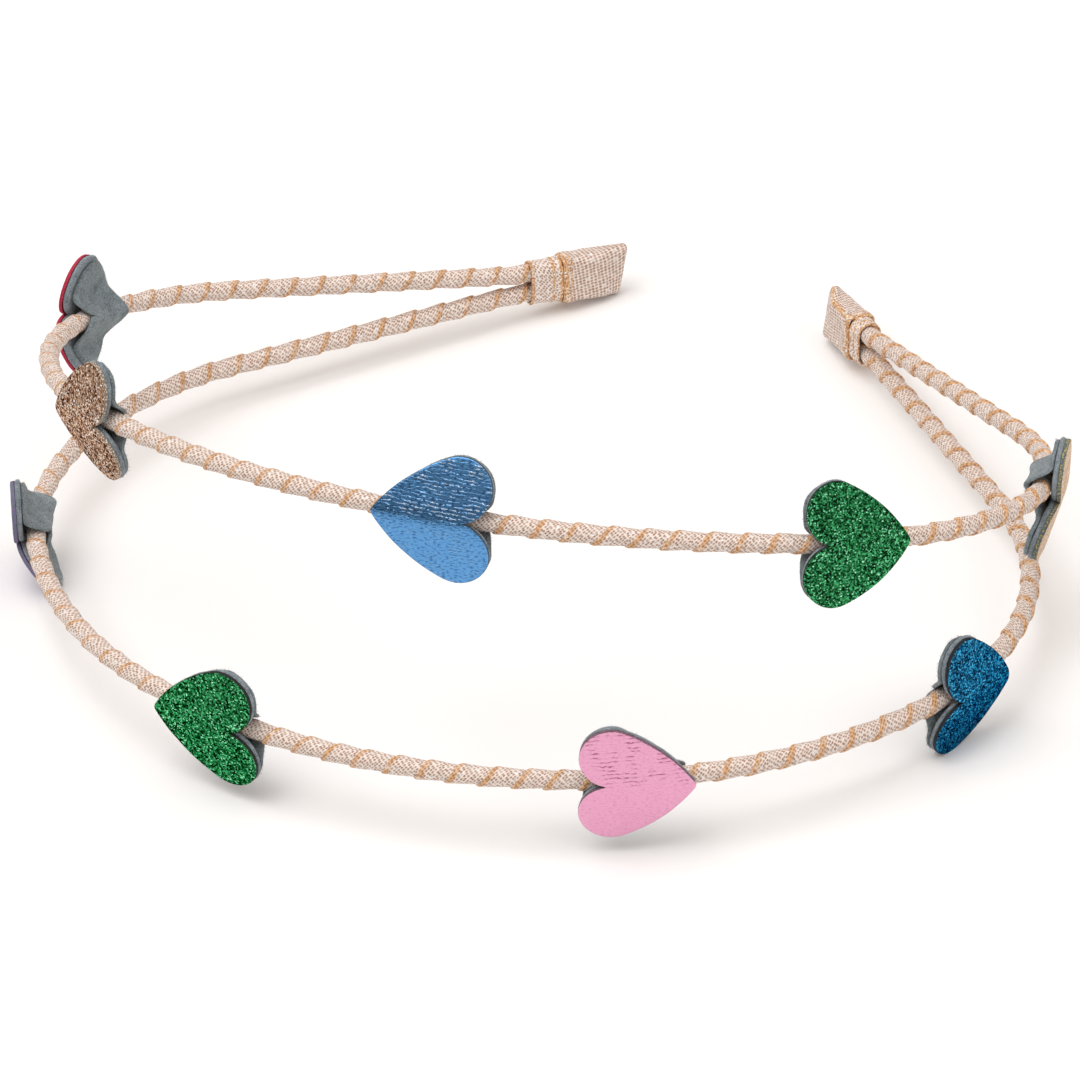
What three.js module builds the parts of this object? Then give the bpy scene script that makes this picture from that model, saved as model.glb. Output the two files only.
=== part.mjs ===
// Heart headband: two wire strands wound with knitted tape share a cloth cap at each end,
// and hearts of glitter cloth or foil on felt are folded over the strands.
// Millimetres, +Z up. The band lies on its side: the crown is at -Y, the caps are at +Y.
import * as THREE from "three";

// Strand sizes: a wire with tape wound round it, each turn lapping the one before
const STRAND_RADIUS = 1.23;
const TAPE_STEP = 0.16;
const TAPE_PITCH = 4.2;
const TURN_SIDES = 8;
const STRAND_SPACING = 2.88;

// Plan of the right half of the band: the strands come together at the fork and run on into the cap
const FORK = { x: 26.3, y: 51 };
const FORK_SOFTNESS = 1.4;
const CAP_HEADING = 43.6;
const MOUTH_PAST_FORK = { left: 7, right: 3.9 };
const STRAND_IN_CAP = 5;
const FRAME_STEP = 0.05;

// Bends of each strand from the fork to the crown, whose radius closes the curve on the middle line
const STRANDS = {
  upper: {
    side: 1, heading: 42.1, tilt: 8.7, tail: 40.4,
    bends: [{ radius: 34.4, sweep: 75.1 }, { radius: 44.4, sweep: 31.1 }],
  },
  lower: {
    side: -1, heading: 45.1, tilt: 6.4, tail: 41,
    bends: [{ radius: 40.6, sweep: 75.2 }, { radius: 61.4, sweep: 38.3 }],
  },
};

// Heart sizes: two round lobes, bulging sides and a blunt tip
const LOBE_RADIUS = 4.1;
const LOBE_OFFSET = 4.05;
const SIDE_RADIUS = 20;
const TIP_RADIUS = 0.85;
const HEART_LENGTH = 14.6;
const BACK_SCALE = 0.95;
const LOBE_ROW_ANGLES = [-55, -28, 0, 25, 50, 76];
const HEART_COLUMNS = 4;

// Layers of a heart, from the strand outwards, and the fold of the back felt over the strand
const FRONT_FELT = 0.75;
const BACK_FELT = 0.65;
const FACE_THICKNESS = 0.45;
const LAYER_GAP = 0.1;
const STRAND_GAP = 0.16;
const FOLD_HALF_WIDTH = 4.4;
const CREASE_SOFTNESS = 1.2;

// Hearts on each strand. at: distance of the middle from the crown, negative to the left.
// tip: the end it points to, left or right. long: its length against the common one.
// roll: turn of the face upwards. yaw: turn on its own face. shift: move across the strand.
// slope: fall of each half away from the crease.
const HEARTS = {
  upper: [
    {
      name: "red", at: -95.6, tip: -1, long: 0.79, colour: 0xb3203f,
      roll: -7, yaw: 5, shift: 0.55, slope: 21.5,
    },
    {
      name: "gold", at: -51.9, tip: -1, long: 0.84, colour: 0x9a7a55,
      roll: -4, yaw: 4, shift: -0.3, slope: 14.5,
    },
    {
      name: "blue_foil", at: 4.8, tip: -1, long: 1.05, colour: 0x3f7cc4,
      roll: 12, yaw: 1, shift: 0, slope: 14.5,
    },
    {
      name: "upper_green", at: 57.7, tip: 1, long: 0.91, colour: 0x0d6b2c,
      roll: 12, yaw: 0, shift: 0.3, slope: 4.7,
    },
    {
      name: "yellow", at: 98.9, tip: 1, long: 0.84, colour: 0xd8b58c,
      roll: -9.3, yaw: -7.8, shift: -1.9, slope: 8.2,
    },
  ],
  lower: [
    {
      name: "lilac", at: -78.2, tip: -1, long: 0.8, colour: 0x9a72c0,
      roll: -18, yaw: 5, shift: -0.5, slope: 17,
    },
    {
      name: "lower_green", at: -22.9, tip: -1, long: 1.08, colour: 0x0d6b2c,
      roll: -5, yaw: 3.8, shift: 0, slope: 6,
    },
    {
      name: "pink", at: 34.6, tip: 1, long: 0.97, colour: 0xe79ac6,
      roll: -8, yaw: -3, shift: 0.65, slope: 5.5,
    },
    {
      name: "blue_glitter", at: 81.7, tip: 1, long: 0.88, colour: 0x114c86,
      roll: -5.4, yaw: -12.5, shift: -0.6, slope: 13.3,
    },
  ],
};

// Binding: an oval sleeve round both strands, just before the cap
const BINDING_LENGTH = { left: 4.6, right: 2.6 };
const BINDING_WALL = 0.4;
const BINDING_GAP = 0.1;
const BINDING_TO_CAP = 0.3;
const BINDING_ARC_SEGMENTS = 8;

// Cap: a cloth pocket with a hem at its mouth, pressed flat at its end
const CAP_OUTSIDE = [
  { along: 0, height: 6.6, thickness: 4.2 },
  { along: 1.3, height: 6.7, thickness: 4.2 },
  { along: 1.6, height: 6.5, thickness: 4 },
  { along: 5.8, height: 6.9, thickness: 3.7 },
  { along: 9.1, height: 7.4, thickness: 1.8 },
];
const CAP_INSIDE = [
  { along: 0, height: 5.95, thickness: 3.1 },
  { along: 5.3, height: 5.95, thickness: 3.05 },
];
const CAP_TWIST = { left: 0, right: 16 };
const CAP_END_SLANT = 0.18;
const CAP_CORNER_RADIUS = 0.8;
const CAP_CORNER_STEPS = 3;

// How the band lies: leaned back about X and rolled about Y until its lowest points touch the surface
const REST_LEAN = -9.57;
const REST_ROLL = 0.04;

const UP = new THREE.Vector3(0, 0, 1);
const radians = THREE.MathUtils.degToRad;

const cloth = (colour) => new THREE.MeshStandardMaterial({ color: colour, roughness: 0.85, metalness: 0 });
const shiny = (colour) => new THREE.MeshStandardMaterial({ color: colour, roughness: 0.35, metalness: 0.6 });
const TAPE_COLOUR = 0xdcbfae;
const FELT_COLOUR = 0x66727c;

// Plan of a strand's right half: the run into the cap, a straight tail, the bends and the crown's arc
function planOf(strand) {
  let x = FORK.x;
  let y = FORK.y;
  let heading = -radians(strand.heading);
  const pieces = [
    { x, y, heading: -radians(CAP_HEADING), length: 0, radius: Infinity },
    { x, y, heading, length: strand.tail, radius: Infinity },
  ];
  x += strand.tail * Math.cos(heading);
  y += strand.tail * Math.sin(heading);
  for (const { radius, sweep } of strand.bends) {
    const turn = radians(sweep);
    pieces.push({ x, y, heading, length: radius * turn, radius });
    x += radius * (Math.sin(heading) - Math.sin(heading - turn));
    y -= radius * (Math.cos(heading) - Math.cos(heading - turn));
    heading -= turn;
  }
  const crownTurn = heading + Math.PI;
  const crownRadius = x / Math.sin(crownTurn);
  pieces.push({ x, y, heading, length: crownRadius * crownTurn, radius: crownRadius });
  const length = pieces.reduce((sum, piece) => sum + piece.length, 0);
  return { pieces, length };
}

const PLANS = { upper: planOf(STRANDS.upper), lower: planOf(STRANDS.lower) };

// Point on a strand's middle line, at a distance from the crown: negative to the left, positive to the right
function strandPoint(name, place) {
  const { pieces, length } = PLANS[name];
  const strand = STRANDS[name];
  let rest = length - Math.abs(place);
  let piece = pieces[0];
  for (const next of pieces.slice(1)) {
    if (rest < piece.length) break;
    rest -= piece.length;
    piece = next;
  }
  let x = piece.x + rest * Math.cos(piece.heading);
  let y = piece.y + rest * Math.sin(piece.heading);
  if (piece.radius < Infinity) {
    const turn = rest / piece.radius;
    x = piece.x + piece.radius * (Math.sin(piece.heading) - Math.sin(piece.heading - turn));
    y = piece.y - piece.radius * (Math.cos(piece.heading) - Math.cos(piece.heading - turn));
  }
  const beforeFork = FORK.y - y;
  const splay = (beforeFork + Math.hypot(beforeFork, FORK_SOFTNESS)) / 2;
  const z = strand.side * (STRAND_SPACING / 2 + Math.tan(radians(strand.tilt)) * splay);
  return new THREE.Vector3(Math.sign(place) * x, y, z);
}

// Frame on a strand: along it to the right, outwards from the head, and across (upwards)
function strandFrame(name, place) {
  const ahead = strandPoint(name, place + FRAME_STEP);
  const along = ahead.sub(strandPoint(name, place - FRAME_STEP)).normalize();
  const out = along.clone().cross(UP).normalize();
  const across = out.clone().cross(along);
  return { point: strandPoint(name, place), along, out, across };
}

const framePoint = (frame, out, across) =>
  frame.point.clone().addScaledVector(frame.out, out).addScaledVector(frame.across, across);

// Closed solid from points and triangles given by their numbers
function solidOf(points, triangles) {
  const geometry = new THREE.BufferGeometry();
  geometry.setFromPoints(points);
  geometry.setIndex(triangles);
  geometry.computeVertexNormals();
  return geometry;
}

const quad = (a, b, c, d) => [a, b, c, a, c, d];

// Wound strand: the tape's leading edge climbs a helix, a step above the turn that it laps
function woundStrand(name) {
  const { length } = PLANS[name];
  const start = -(length + MOUTH_PAST_FORK.left + STRAND_IN_CAP);
  const end = length + MOUTH_PAST_FORK.right + STRAND_IN_CAP;
  const turns = Math.round((end - start) / TAPE_PITCH);
  const stations = turns * TURN_SIDES;
  const spacing = (end - start) / stations;
  const points = [];
  for (let station = 0; station <= stations; station += 1) {
    const angle = (2 * Math.PI * station) / TURN_SIDES;
    const frame = strandFrame(name, start + station * spacing);
    for (const radius of [STRAND_RADIUS, STRAND_RADIUS + TAPE_STEP]) {
      points.push(framePoint(frame, radius * Math.cos(angle), radius * Math.sin(angle)));
    }
  }
  const low = (station) => 2 * station;
  const high = (station) => 2 * station + 1;
  const startMiddle = points.push(strandPoint(name, start + (TURN_SIDES / 2) * spacing)) - 1;
  const endMiddle = points.push(strandPoint(name, end - (TURN_SIDES / 2) * spacing)) - 1;
  const triangles = [];
  for (let station = 0; station + TURN_SIDES < stations; station += 1) {
    const lapped = station + TURN_SIDES;
    triangles.push(...quad(high(station), low(lapped), low(lapped + 1), high(station + 1)));
    if (lapped + TURN_SIDES < stations) {
      triangles.push(...quad(low(lapped), high(lapped), high(lapped + 1), low(lapped + 1)));
    }
  }
  const last = stations - TURN_SIDES;
  for (let side = 0; side < TURN_SIDES; side += 1) {
    triangles.push(startMiddle, high(side), high(side + 1));
    triangles.push(endMiddle, low(last + side + 1), low(last + side));
  }
  triangles.push(startMiddle, low(TURN_SIDES), high(0), startMiddle, high(TURN_SIDES), low(TURN_SIDES));
  triangles.push(endMiddle, high(last), low(stations), endMiddle, low(last), high(last));
  return solidOf(points, triangles);
}

// Heart outline in its own plane, tip at +x: the ends of the row at a distance across from the middle line
const LOBE = new THREE.Vector2(LOBE_RADIUS - HEART_LENGTH / 2, LOBE_OFFSET);
const TIP = new THREE.Vector2(HEART_LENGTH / 2 - TIP_RADIUS, 0);
const SIDE_CENTRE = sideCentre();

// Middle of the side's arc, which touches the lobe's arc and the tip's arc from outside
function sideCentre() {
  const gap = TIP.clone().sub(LOBE);
  const distance = gap.length();
  const toLobe = SIDE_RADIUS - LOBE_RADIUS;
  const toTip = SIDE_RADIUS - TIP_RADIUS;
  const alongGap = (toLobe ** 2 - toTip ** 2 + distance ** 2) / (2 * distance);
  const fromGap = Math.sqrt(toLobe ** 2 - alongGap ** 2);
  const unit = gap.divideScalar(distance);
  return new THREE.Vector2(
    LOBE.x + unit.x * alongGap + unit.y * fromGap,
    LOBE.y + unit.y * alongGap - unit.x * fromGap,
  );
}

// Where the side's arc meets the arc of the lobe or of the tip
const touchPoint = (centre, radius) =>
  centre.clone().sub(SIDE_CENTRE).setLength(radius).add(centre);

const SIDE_TO_LOBE = touchPoint(LOBE, LOBE_RADIUS);
const SIDE_TO_TIP = touchPoint(TIP, TIP_RADIUS);

const arcReach = (centre, radius, across) =>
  centre.x + Math.sqrt(Math.max(radius ** 2 - (across - centre.y) ** 2, 0));

function heartRow(across) {
  const distance = Math.abs(across);
  const back = 2 * LOBE.x - arcReach(LOBE, LOBE_RADIUS, distance);
  let front = arcReach(SIDE_CENTRE, SIDE_RADIUS, distance);
  if (distance < SIDE_TO_TIP.y) front = arcReach(TIP, TIP_RADIUS, distance);
  if (distance > SIDE_TO_LOBE.y) front = arcReach(LOBE, LOBE_RADIUS, distance);
  return { back, front };
}

const HALF_ROWS = LOBE_ROW_ANGLES.map((angle) => LOBE_OFFSET + LOBE_RADIUS * Math.sin(radians(angle)));
const HEART_ROWS = [...HALF_ROWS.map((row) => -row).reverse(), 0, ...HALF_ROWS];

// Height of the front felt's back above the strand's middle: it falls away on both sides of the crease
function creaseHeight(heart, across) {
  const fall = Math.hypot(across, CREASE_SOFTNESS) - CREASE_SOFTNESS;
  return STRAND_RADIUS + TAPE_STEP + STRAND_GAP - Math.tan(radians(heart.slope)) * fall;
}

// Height of the back felt's front: against the front felt at its edges, folded round the strand in the middle
function foldHeight(heart, across) {
  const depth = 2 * (STRAND_RADIUS + TAPE_STEP + STRAND_GAP);
  const reach = Math.min(Math.abs(across) / FOLD_HALF_WIDTH, 1);
  return creaseHeight(heart, across) - LAYER_GAP - (depth * (1 + Math.cos(Math.PI * reach))) / 2;
}

// One layer of a heart, bent along its strand between two heights above the strand's middle
function heartLayer(strand, heart, scale, lowerHeight, upperHeight) {
  const roll = radians(heart.roll);
  const turn = radians(heart.yaw) + (heart.tip < 0 ? Math.PI : 0);
  const points = [];
  for (const row of HEART_ROWS) {
    const { back, front } = heartRow(row);
    for (let column = 0; column < HEART_COLUMNS; column += 1) {
      const forward = heart.long * THREE.MathUtils.lerp(back, front, column / (HEART_COLUMNS - 1));
      const along = scale * (forward * Math.cos(turn) - row * Math.sin(turn));
      const across = scale * (forward * Math.sin(turn) + row * Math.cos(turn)) + heart.shift;
      const frame = strandFrame(strand, heart.at + along);
      for (const height of [lowerHeight(heart, across), upperHeight(heart, across)]) {
        const out = height * Math.cos(roll) - across * Math.sin(roll);
        const up = height * Math.sin(roll) + across * Math.cos(roll);
        points.push(framePoint(frame, out, up));
      }
    }
  }
  const lower = (row, column) => 2 * (row * HEART_COLUMNS + column);
  const upper = (row, column) => lower(row, column) + 1;
  const lastRow = HEART_ROWS.length - 1;
  const lastColumn = HEART_COLUMNS - 1;
  const triangles = [];
  for (let row = 0; row < lastRow; row += 1) {
    for (let column = 0; column < lastColumn; column += 1) {
      const [a, b, c, d] = [[row, column], [row, column + 1], [row + 1, column + 1], [row + 1, column]];
      triangles.push(...quad(upper(...a), upper(...b), upper(...c), upper(...d)));
      triangles.push(...quad(lower(...c), lower(...b), lower(...a), lower(...d)));
    }
    triangles.push(...quad(lower(row + 1, 0), lower(row, 0), upper(row, 0), upper(row + 1, 0)));
    const [near, far] = [[row, lastColumn], [row + 1, lastColumn]];
    triangles.push(...quad(lower(...near), lower(...far), upper(...far), upper(...near)));
  }
  for (let column = 0; column < lastColumn; column += 1) {
    triangles.push(...quad(lower(0, column), lower(0, column + 1), upper(0, column + 1), upper(0, column)));
    const [near, far] = [[lastRow, column], [lastRow, column + 1]];
    triangles.push(...quad(lower(...far), lower(...near), upper(...near), upper(...far)));
  }
  return solidOf(points, triangles);
}

// Mouth of a cap: its place, the way into the cap, and the way across its thickness
function capMouth(end) {
  const sign = end === "left" ? -1 : 1;
  const mouths = ["upper", "lower"].map((name) =>
    strandPoint(name, sign * (PLANS[name].length + MOUTH_PAST_FORK[end])));
  const place = mouths[0].add(mouths[1]).divideScalar(2);
  const heading = radians(CAP_HEADING);
  const into = new THREE.Vector3(-sign * Math.cos(heading), Math.sin(heading), 0);
  const through = UP.clone().cross(into);
  return new THREE.Matrix4().makeBasis(through, UP, into).setPosition(place);
}

// Section of a cap with flat sides and round corners; only the end is slanted and twisted
function capSection({ along, height, thickness }, twist) {
  const isEnd = along === CAP_OUTSIDE.at(-1).along;
  const radius = CAP_CORNER_RADIUS;
  const points = [];
  for (let corner = 0; corner < 4; corner += 1) {
    const side = { across: corner % 3 === 0 ? 1 : -1, up: corner < 2 ? 1 : -1 };
    for (let step = 0; step <= CAP_CORNER_STEPS; step += 1) {
      const angle = (Math.PI / 2) * (corner + step / CAP_CORNER_STEPS);
      const across = side.across * (thickness / 2 - radius) + radius * Math.cos(angle);
      const up = side.up * (height / 2 - radius) + radius * Math.sin(angle);
      points.push(new THREE.Vector3(across, up, along + (isEnd ? CAP_END_SLANT * up : 0)));
    }
  }
  const turn = new THREE.Matrix4().makeRotationZ(isEnd ? radians(twist) : 0);
  return points.map((point) => point.applyMatrix4(turn));
}

// Cap: outside from the closed end to the mouth, and back down the inside to the bottom of the pocket
function capPocket(end) {
  const rings = [...CAP_OUTSIDE.toReversed(), ...CAP_INSIDE];
  const points = rings.flatMap((ring) => capSection(ring, CAP_TWIST[end]));
  const sectionPoints = points.length / rings.length;
  const number = (ring, place) => ring * sectionPoints + (place % sectionPoints);
  const last = rings.length - 1;
  const triangles = [];
  for (let place = 0; place < sectionPoints; place += 1) {
    for (let ring = 0; ring < last; ring += 1) {
      const near = [number(ring, place), number(ring + 1, place)];
      const far = [number(ring + 1, place + 1), number(ring, place + 1)];
      triangles.push(...quad(...near, ...far));
    }
    if (place > 0 && place < sectionPoints - 1) {
      triangles.push(number(0, 0), number(0, place), number(0, place + 1));
      triangles.push(number(last, 0), number(last, place + 1), number(last, place));
    }
  }
  return solidOf(points, triangles).applyMatrix4(capMouth(end));
}

// Oval with round ends, the outline of a sleeve round two strands
function oval(path, width, height) {
  const straight = (height - width) / 2;
  path.absarc(0, straight, width / 2, 0, Math.PI);
  path.absarc(0, -straight, width / 2, Math.PI, 2 * Math.PI);
  path.closePath();
  return path;
}

function bindingSleeve(end) {
  const hole = 2 * (STRAND_RADIUS + TAPE_STEP + BINDING_GAP);
  const outside = hole + 2 * BINDING_WALL;
  const shape = oval(new THREE.Shape(), outside, outside + STRAND_SPACING);
  shape.holes.push(oval(new THREE.Path(), hole, hole + STRAND_SPACING));
  const sleeve = new THREE.ExtrudeGeometry(shape, {
    depth: BINDING_LENGTH[end],
    bevelEnabled: false,
    curveSegments: BINDING_ARC_SEGMENTS,
  });
  sleeve.translate(0, 0, -BINDING_LENGTH[end] - BINDING_TO_CAP);
  return sleeve.applyMatrix4(capMouth(end));
}

const band = new THREE.Group();

function addPiece(name, geometry, material) {
  const piece = new THREE.Mesh(geometry, material);
  piece.name = name;
  band.add(piece);
}

for (const name of Object.keys(STRANDS)) {
  addPiece(`${name}_strand`, woundStrand(name), cloth(TAPE_COLOUR));
}
for (const end of Object.keys(MOUTH_PAST_FORK)) {
  addPiece(`${end}_binding`, bindingSleeve(end), cloth(TAPE_COLOUR));
  addPiece(`${end}_cap`, capPocket(end), cloth(TAPE_COLOUR));
}
const frontTop = (heart, across) => creaseHeight(heart, across) + FRONT_FELT;
const faceBottom = (heart, across) => frontTop(heart, across) + LAYER_GAP;
const faceTop = (heart, across) => faceBottom(heart, across) + FACE_THICKNESS;
const backBottom = (heart, across) => foldHeight(heart, across) - BACK_FELT;
for (const [strand, hearts] of Object.entries(HEARTS)) {
  for (const heart of hearts) {
    const face = heartLayer(strand, heart, 1, faceBottom, faceTop);
    const frontFelt = heartLayer(strand, heart, 1, creaseHeight, frontTop);
    const backFelt = heartLayer(strand, heart, BACK_SCALE, backBottom, foldHeight);
    addPiece(`${heart.name}_heart_face`, face, shiny(heart.colour));
    addPiece(`${heart.name}_heart_front_felt`, frontFelt, cloth(FELT_COLOUR));
    addPiece(`${heart.name}_heart_back_felt`, backFelt, cloth(FELT_COLOUR));
  }
}

// Lay the band on the surface, with the origin under the middle of its box
band.rotation.set(radians(REST_LEAN), radians(REST_ROLL), 0, "YXZ");
band.updateMatrixWorld(true);
const box = new THREE.Box3().setFromObject(band, true);
const middle = box.getCenter(new THREE.Vector3());
band.position.set(-middle.x, -middle.y, -box.min.z);

export default band;
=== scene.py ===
"""Heart headband: wound strands, bindings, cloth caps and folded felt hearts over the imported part."""
import math

import bpy
import numpy as np
from mathutils import Matrix, Vector, noise


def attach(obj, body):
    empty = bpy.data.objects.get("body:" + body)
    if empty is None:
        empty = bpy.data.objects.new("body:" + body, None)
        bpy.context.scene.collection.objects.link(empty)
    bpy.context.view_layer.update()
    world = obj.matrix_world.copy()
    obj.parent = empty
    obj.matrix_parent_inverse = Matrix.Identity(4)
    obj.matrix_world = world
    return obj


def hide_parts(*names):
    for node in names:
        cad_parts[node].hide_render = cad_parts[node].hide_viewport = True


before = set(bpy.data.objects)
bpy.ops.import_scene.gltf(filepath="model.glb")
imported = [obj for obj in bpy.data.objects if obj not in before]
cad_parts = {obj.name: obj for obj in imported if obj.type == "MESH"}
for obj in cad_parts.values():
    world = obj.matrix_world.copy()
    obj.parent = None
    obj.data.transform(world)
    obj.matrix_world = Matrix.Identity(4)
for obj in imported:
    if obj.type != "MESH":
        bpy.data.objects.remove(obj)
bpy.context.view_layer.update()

bl_info = {
    "name": "Heart headband",
    "version": (1, 0, 0),
    "blender": (4, 5, 0),
    "location": "3D View > Sidebar > Headband",
    "description": "Makes a wire headband wound with knit tape and set with folded felt hearts",
    "category": "Object",
}

MM = 0.001
UP = np.array((0.0, 0.0, 1.0))

# How the band lies: turned about X, then about Y, and moved so that its lowest points touch the floor
REST_LEAN = math.radians(-9.57)
REST_ROLL = math.radians(0.04)
REST_PLACE = Vector((-0.0127, -0.27396, 13.90064)) * MM
LAID = (Matrix.Translation(REST_PLACE)
        @ Matrix.Rotation(REST_ROLL, 4, "Y")
        @ Matrix.Rotation(REST_LEAN, 4, "X"))

# Plan of the right half of the band: the strands meet at the fork and run on into the cap
STRAND_SPACING = 2.88 * MM
FORK_X = 26.3 * MM
FORK_Y = 51 * MM
FORK_SOFTNESS = 1.4 * MM
CAP_HEADING = math.radians(43.6)
MOUTH_PAST_FORK = {"left": 7 * MM, "right": 3.9 * MM}
STRAND_IN_CAP = 5 * MM
FRAME_STEP = 0.05 * MM

# Strands from the fork to the crown: side, heading and tilt in degrees, straight tail, and bends as radius
# and sweep in degrees
STRANDS = {
    "upper": {"side": 1, "heading": 42.1, "tilt": 8.7, "tail": 40.4 * MM,
              "bends": ((34.4 * MM, 75.1), (44.4 * MM, 31.1))},
    "lower": {"side": -1, "heading": 45.1, "tilt": 6.4, "tail": 41 * MM,
              "bends": ((40.6 * MM, 75.2), (61.4 * MM, 38.3))},
}

# Tape's strip from its overlocked edge: distance and height, then a body that falls to the next edge
EDGE_PROFILE = ((0, 0), (0.03, 0.09), (0.1, 0.18), (0.22, 0.235), (0.4, 0.245), (0.62, 0.23))
BODY_COLUMNS = 15
BODY_FALL = 1.2
TAPE_SINK = 0.1 * MM
TAPE_SIDES = 36
EDGE_WAVER = 0.13 * MM
WINDING_PHASE = {"upper": 1.3, "lower": 4.1}

# Waver of the tape's edge as sines: share, rate and how often the phase counts
WAVER_SINES = ((1, 2.1, 1), (0.7, 5.3, 2), (0.5, 11.9, 0))

# Heart outline: two round lobes, bulging sides and a blunt tip
LOBE_RADIUS = 4.1 * MM
LOBE_OFFSET = 4.05 * MM
SIDE_RADIUS = 20 * MM
TIP_RADIUS = 0.85 * MM
HEART_LENGTH = 14.6 * MM
OUTLINE_STEPS = {"tip": 6, "side": 34, "lobe": 56}
HEART_MIDDLE = np.array((0.5 * MM, 0))

# Layers of a heart and the fold of the back felt over the strand; the back felt stays inside the tip
BACK_TIP_INSET = 0.6 * MM
LAYER_GAP = 0.1 * MM
FACE_GAP = 0.02 * MM
FELT_HANG = 0.04 * MM
STRAND_GAP = 0.16 * MM
FOLD_HALF_WIDTH = 3.8 * MM
CREASE_SOFTNESS = 1.2 * MM

# Waver of a layer's rim and lumps of its surface: size across, and how many kinds there are
RIM_DRIFT_SIZE = 2.6 * MM
FELT_LUMP_SIZE = 1.8 * MM
DRIFT_SEEDS = 23
LUMP_SEEDS = 17

# Hearts: strand, middle's distance from the crown, tip's end, length share, roll, yaw, shift, slope,
# how far the back felt stays inside the lobes, and finish
HEART_COLUMNS = ("strand", "at", "tip", "long", "roll", "yaw", "shift", "slope", "inset", "finish")
HEARTS = {
    "red": ("upper", -95.6, -1, 0.79, -7, 5, 0.55, 21.5, 1.2, "crimson_foil"),
    "gold": ("upper", -51.9, -1, 0.84, -4, 4, -0.3, 14.5, 0, "bronze_glitter"),
    "blue_foil": ("upper", 4.8, -1, 1.05, 12, 1, 0, 14.5, 0, "blue_foil"),
    "upper_green": ("upper", 57.7, 1, 0.91, 12, 0, 0.3, 4.7, -0.15, "green_glitter"),
    "yellow": ("upper", 98.9, 1, 0.84, -9.3, -7.8, -1.9, 8.2, 0, "yellow_glitter"),
    "lilac": ("lower", -78.2, -1, 0.8, -18, 5, -0.5, 17, 0.6, "lilac_glitter"),
    "lower_green": ("lower", -22.9, -1, 1.08, -5, 3.8, 0, 6, 0.1, "green_glitter"),
    "pink": ("lower", 34.6, 1, 0.97, -8, -3, 0.65, 5.5, 0.4, "pink_foil"),
    "blue_glitter": ("lower", 81.7, 1, 0.88, -5.4, -12.5, -0.6, 13.3, -0.15, "blue_glitter"),
}

# Rims as inset from the outline in millimetres, share of the thickness, and whether it is cut edge
SHEET_RIM = ((0.1, 1.0, 0), (0.03, 0.97, 0), (0.0, 0.88, 1), (0.0, 0.6, 1), (0.0, 0.3, 1), (0.02, 0.0, 1))
FELT_ROUNDING = 0.36
FELT_RIM = tuple(
    (FELT_ROUNDING * (1 - math.cos(math.radians(angle))), 0.5 + 0.5 * math.sin(math.radians(angle)), 0)
    for angle in range(90, -91, -20))
BACK_RIM = ((0.1, 1.0, 0), (0.0, 0.9, 0), (0.0, 0.7, 0), (0.04, 0.5, 0), (0.12, 0.3, 0), (0.26, 0.14, 0),
            (0.48, 0.04, 0), (0.75, 0.0, 0))

# Loose fibres round a felt's rim: their number, length and width, and the largest angle and lean
FIBRES = 420
FIBRE_LENGTH = (0.1 * MM, 0.42 * MM)
FIBRE_WIDTH = 0.03 * MM
FIBRE_ANGLE = 1.3
FIBRE_LEAN = 1.0

# Binding in millimetres: its length, then its section as distance along, height over its hole, and whether it
# is overlocked. The far edge is measured from the binding's start, the ring before the cap from the mouth.
BINDING_LENGTH = {"left": 4.6, "right": 2.6}
BINDING_TO_CAP = 0.3
BINDING_FAR_EDGE = (
    (0.4, -0.05, 0), (0.08, -0.05, 1), (0.0, 0.08, 1), (0.03, 0.22, 1), (0.14, 0.3, 1), (0.28, 0.28, 1),
    (0.4, 0.22, 0),
)
BINDING_RING = (
    (-2.0, 0.27, 0), (-1.9, 0.33, 1), (-1.76, 0.38, 1), (-1.6, 0.36, 1), (-1.48, 0.29, 0), (-1.2, 0.3, 0),
    (-0.95, 0.31, 0), (-0.82, 0.36, 1), (-0.66, 0.4, 1), (-0.5, 0.39, 1), (-0.38, 0.37, 1), (-0.32, 0.33, 1),
    (-0.32, 0.1, 1), (-0.6, 0, 0), (-1.4, 0, 0),
)
BINDING_BODY_STEP = 0.4
BINDING_GAP = 0.1 * MM
BINDING_ROUND = 0.999
BINDING_STEPS = {"arc": 14, "long": 8, "short": 2}

# Cap from its mouth to the pressed end in millimetres: distance along, height and thickness
CAP_SECTIONS = ((0, 6.6, 4.2), (1.3, 6.7, 4.2), (1.6, 6.5, 4), (5.8, 6.9, 3.7), (9.1, 7.4, 1.8))
CAP_PRESSED_FROM = CAP_SECTIONS[-2][0] * MM
CAP_LENGTH = CAP_SECTIONS[-1][0] * MM
CAP_TWIST = {"left": 0, "right": math.radians(16)}
CAP_END_SLANT = 0.18
CAP_POCKET = {"depth": 5.3 * MM, "height": 5.95 * MM, "thickness": 3.05 * MM, "mouth": 0.3 * MM}
CAP_CORNER = 1.2 * MM
CAP_ROUND = 0.49
CAP_STEP = 0.4
CAP_STEPS = {"arc": 8, "long": 12, "short": 5}

# Cap's hem and rounded end in millimetres: distance along, swell over its section, and whether it is tan
CAP_HEM = (
    (0.2, -0.4, 1), (-0.26, -0.36, 1), (-0.3, -0.26, 1), (-0.26, -0.12, 1), (-0.14, 0.0, 1), (0.02, 0.06, 1),
    (0.18, 0.06, 1), (0.32, 0.03, 1), (0.42, -0.01, 0), (0.54, 0.02, 0), (0.66, 0.05, 1), (0.82, 0.04, 1),
    (0.95, 0.0, 0),
)
CAP_END = (
    (8.6, -0.02, 0), (8.8, -0.1, 0), (8.94, -0.22, 0), (9.03, -0.36, 0), (9.08, -0.5, 0), (9.1, -0.64, 0),
    (9.11, -0.78, 0),
)

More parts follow.
